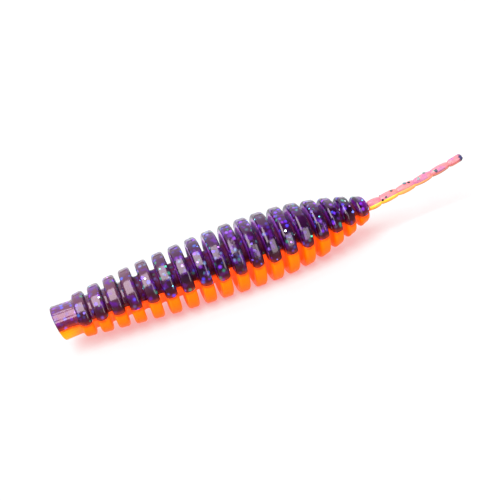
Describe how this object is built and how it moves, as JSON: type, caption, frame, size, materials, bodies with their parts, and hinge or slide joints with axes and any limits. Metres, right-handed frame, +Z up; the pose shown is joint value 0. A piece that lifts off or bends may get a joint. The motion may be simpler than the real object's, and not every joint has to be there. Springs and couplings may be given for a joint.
{
  "type": "soft plastic fishing worm",
  "caption": "Ribbed soft plastic lure body with a violet glitter back, an orange belly and a thin beaded tail that bends",
  "frame": {"origin": "centre of the nose face, on the axis of the core", "axes": "+X along the core towards the tail, +Z up to the violet back, so the seam between back and belly is the XY plane"},
  "size_m": [0.0612, 0.0098, 0.0094],
  "materials": {
    "violet_back": "glossy, translucent violet soft plastic filled with blue, green and violet glitter",
    "orange_belly": "glossy, translucent orange soft plastic"
  },
  "bodies": {
    "head": {"nose_back": "violet_back", "nose_belly": "orange_belly", "rib_01_back": "violet_back", "rib_01_belly": "orange_belly"},
    "rib_02": {"rib_02_back": "violet_back", "rib_02_belly": "orange_belly"},
    "rib_03": {"rib_03_back": "violet_back", "rib_03_belly": "orange_belly"},
    "rib_04": {"rib_04_back": "violet_back", "rib_04_belly": "orange_belly"},
    "rib_05": {"rib_05_back": "violet_back", "rib_05_belly": "orange_belly"},
    "rib_06": {"rib_06_back": "violet_back", "rib_06_belly": "orange_belly"},
    "rib_07": {"rib_07_back": "violet_back", "rib_07_belly": "orange_belly"},
    "rib_08": {"rib_08_back": "violet_back", "rib_08_belly": "orange_belly"},
    "rib_09": {"rib_09_back": "violet_back", "rib_09_belly": "orange_belly"},
    "rib_10": {"rib_10_back": "violet_back", "rib_10_belly": "orange_belly"},
    "rib_11": {"rib_11_back": "violet_back", "rib_11_belly": "orange_belly"},
    "rib_12": {"rib_12_back": "violet_back", "rib_12_belly": "orange_belly"},
    "rib_13": {"rib_13_back": "violet_back", "rib_13_belly": "orange_belly"},
    "rib_14": {"rib_14_back": "violet_back", "rib_14_belly": "orange_belly"},
    "rib_15": {"rib_15_back": "violet_back", "rib_15_belly": "orange_belly"},
    "rib_16": {"rib_16_back": "violet_back", "rib_16_belly": "orange_belly"},
    "rib_17": {"rib_17_back": "violet_back", "rib_17_belly": "orange_belly"},
    "rib_18": {"rib_18_back": "violet_back", "rib_18_belly": "orange_belly"},
    "tail_1": {"tail_1_back": "violet_back", "tail_1_belly": "orange_belly"},
    "tail_2": {"tail_2_back": "violet_back", "tail_2_belly": "orange_belly"},
    "tail_3": {"tail_3_back": "violet_back", "tail_3_belly": "orange_belly"},
    "tail_4": {"tail_4_back": "violet_back", "tail_4_belly": "orange_belly"},
    "tail_5": {"tail_5_back": "violet_back", "tail_5_belly": "orange_belly"},
    "tail_6": {"tail_6_back": "violet_back", "tail_6_belly": "orange_belly"}
  },
  "joints": [
    {"name": "neck_01_side", "type": "hinge", "parent": "head", "child": "rib_02", "pos_m": [0.00486, 0, 0], "axis": [0, 0, 1], "range_deg": [-10, 10], "stiffness_Nm_per_rad": 0.0053},
    {"name": "neck_02_lift", "type": "hinge", "parent": "rib_02", "child": "rib_03", "pos_m": [0.00714, 0, 0], "axis": [0, 1, 0], "range_deg": [-10, 10], "stiffness_Nm_per_rad": 0.0053},
    {"name": "neck_03_side", "type": "hinge", "parent": "rib_03", "child": "rib_04", "pos_m": [0.00942, 0, 0], "axis": [0, 0, 1], "range_deg": [-10, 10], "stiffness_Nm_per_rad": 0.0053},
    {"name": "neck_04_lift", "type": "hinge", "parent": "rib_04", "child": "rib_05", "pos_m": [0.01179, 0, 0], "axis": [0, 1, 0], "range_deg": [-10, 10], "stiffness_Nm_per_rad": 0.0053},
    {"name": "neck_05_side", "type": "hinge", "parent": "rib_05", "child": "rib_06", "pos_m": [0.01423, 0, 0], "axis": [0, 0, 1], "range_deg": [-10, 10], "stiffness_Nm_per_rad": 0.0053},
    {"name": "neck_06_lift", "type": "hinge", "parent": "rib_06", "child": "rib_07", "pos_m": [0.01668, 0, 0], "axis": [0, 1, 0], "range_deg": [-10, 10], "stiffness_Nm_per_rad": 0.0053},
    {"name": "neck_07_side", "type": "hinge", "parent": "rib_07", "child": "rib_08", "pos_m": [0.01913, 0, 0], "axis": [0, 0, 1], "range_deg": [-10, 10], "stiffness_Nm_per_rad": 0.0053},
    {"name": "neck_08_lift", "type": "hinge", "parent": "rib_08", "child": "rib_09", "pos_m": [0.02159, 0, 0], "axis": [0, 1, 0], "range_deg": [-10, 10], "stiffness_Nm_per_rad": 0.0053},
    {"name": "neck_09_side", "type": "hinge", "parent": "rib_09", "child": "rib_10", "pos_m": [0.02404, 0, 0], "axis": [0, 0, 1], "range_deg": [-10, 10], "stiffness_Nm_per_rad": 0.0053},
    {"name": "neck_10_lift", "type": "hinge", "parent": "rib_10", "child": "rib_11", "pos_m": [0.02649, 0, 0], "axis": [0, 1, 0], "range_deg": [-10, 10], "stiffness_Nm_per_rad": 0.0053},
    {"name": "neck_11_side", "type": "hinge", "parent": "rib_11", "child": "rib_12", "pos_m": [0.02893, 0, 0], "axis": [0, 0, 1], "range_deg": [-10, 10], "stiffness_Nm_per_rad": 0.0053},
    {"name": "neck_12_lift", "type": "hinge", "parent": "rib_12", "child": "rib_13", "pos_m": [0.03139, 0, 0], "axis": [0, 1, 0], "range_deg": [-10, 10], "stiffness_Nm_per_rad": 0.0053},
    {"name": "neck_13_side", "type": "hinge", "parent": "rib_13", "child": "rib_14", "pos_m": [0.03383, 0, 0], "axis": [0, 0, 1], "range_deg": [-10, 10], "stiffness_Nm_per_rad": 0.0036},
    {"name": "neck_14_lift", "type": "hinge", "parent": "rib_14", "child": "rib_15", "pos_m": [0.03628, 0, 0], "axis": [0, 1, 0], "range_deg": [-10, 10], "stiffness_Nm_per_rad": 0.0023},
    {"name": "neck_15_side", "type": "hinge", "parent": "rib_15", "child": "rib_16", "pos_m": [0.0387, 0, 0], "axis": [0, 0, 1], "range_deg": [-10, 10], "stiffness_Nm_per_rad": 0.0014},
    {"name": "neck_16_lift", "type": "hinge", "parent": "rib_16", "child": "rib_17", "pos_m": [0.04095, 0, 0], "axis": [0, 1, 0], "range_deg": [-10, 10], "stiffness_Nm_per_rad": 0.00081},
    {"name": "neck_17_side", "type": "hinge", "parent": "rib_17", "child": "rib_18", "pos_m": [0.04319, 0, 0], "axis": [0, 0, 1], "range_deg": [-10, 10], "stiffness_Nm_per_rad": 0.00042},
    {"name": "tail_1_side", "type": "hinge", "parent": "rib_18", "child": "tail_1", "pos_m": [0.0456, 0, 0], "axis": [-0.0958, 0, 0.9954], "range_deg": [-30, 30], "stiffness_Nm_per_rad": 0.000015},
    {"name": "tail_2_lift", "type": "hinge", "parent": "tail_1", "child": "tail_2", "pos_m": [0.04759, 0, 0.00019], "axis": [0, 1, 0], "range_deg": [-30, 30], "stiffness_Nm_per_rad": 0.000011},
    {"name": "tail_3_side", "type": "hinge", "parent": "tail_2", "child": "tail_3", "pos_m": [0.05034, 0, 0.00051], "axis": [-0.134, 0, 0.991], "range_deg": [-30, 30], "stiffness_Nm_per_rad": 0.0000078},
    {"name": "tail_4_lift", "type": "hinge", "parent": "tail_3", "child": "tail_4", "pos_m": [0.05309, 0, 0.00088], "axis": [0, 1, 0], "range_deg": [-30, 30], "stiffness_Nm_per_rad": 0.0000054},
    {"name": "tail_5_side", "type": "hinge", "parent": "tail_4", "child": "tail_5", "pos_m": [0.05582, 0, 0.0013], "axis": [-0.1719, 0, 0.9851], "range_deg": [-30, 30], "stiffness_Nm_per_rad": 0.0000036},
    {"name": "tail_6_lift", "type": "hinge", "parent": "tail_5", "child": "tail_6", "pos_m": [0.05855, 0, 0.00178], "axis": [0, 1, 0], "range_deg": [-30, 30], "stiffness_Nm_per_rad": 0.0000023}
  ]
}
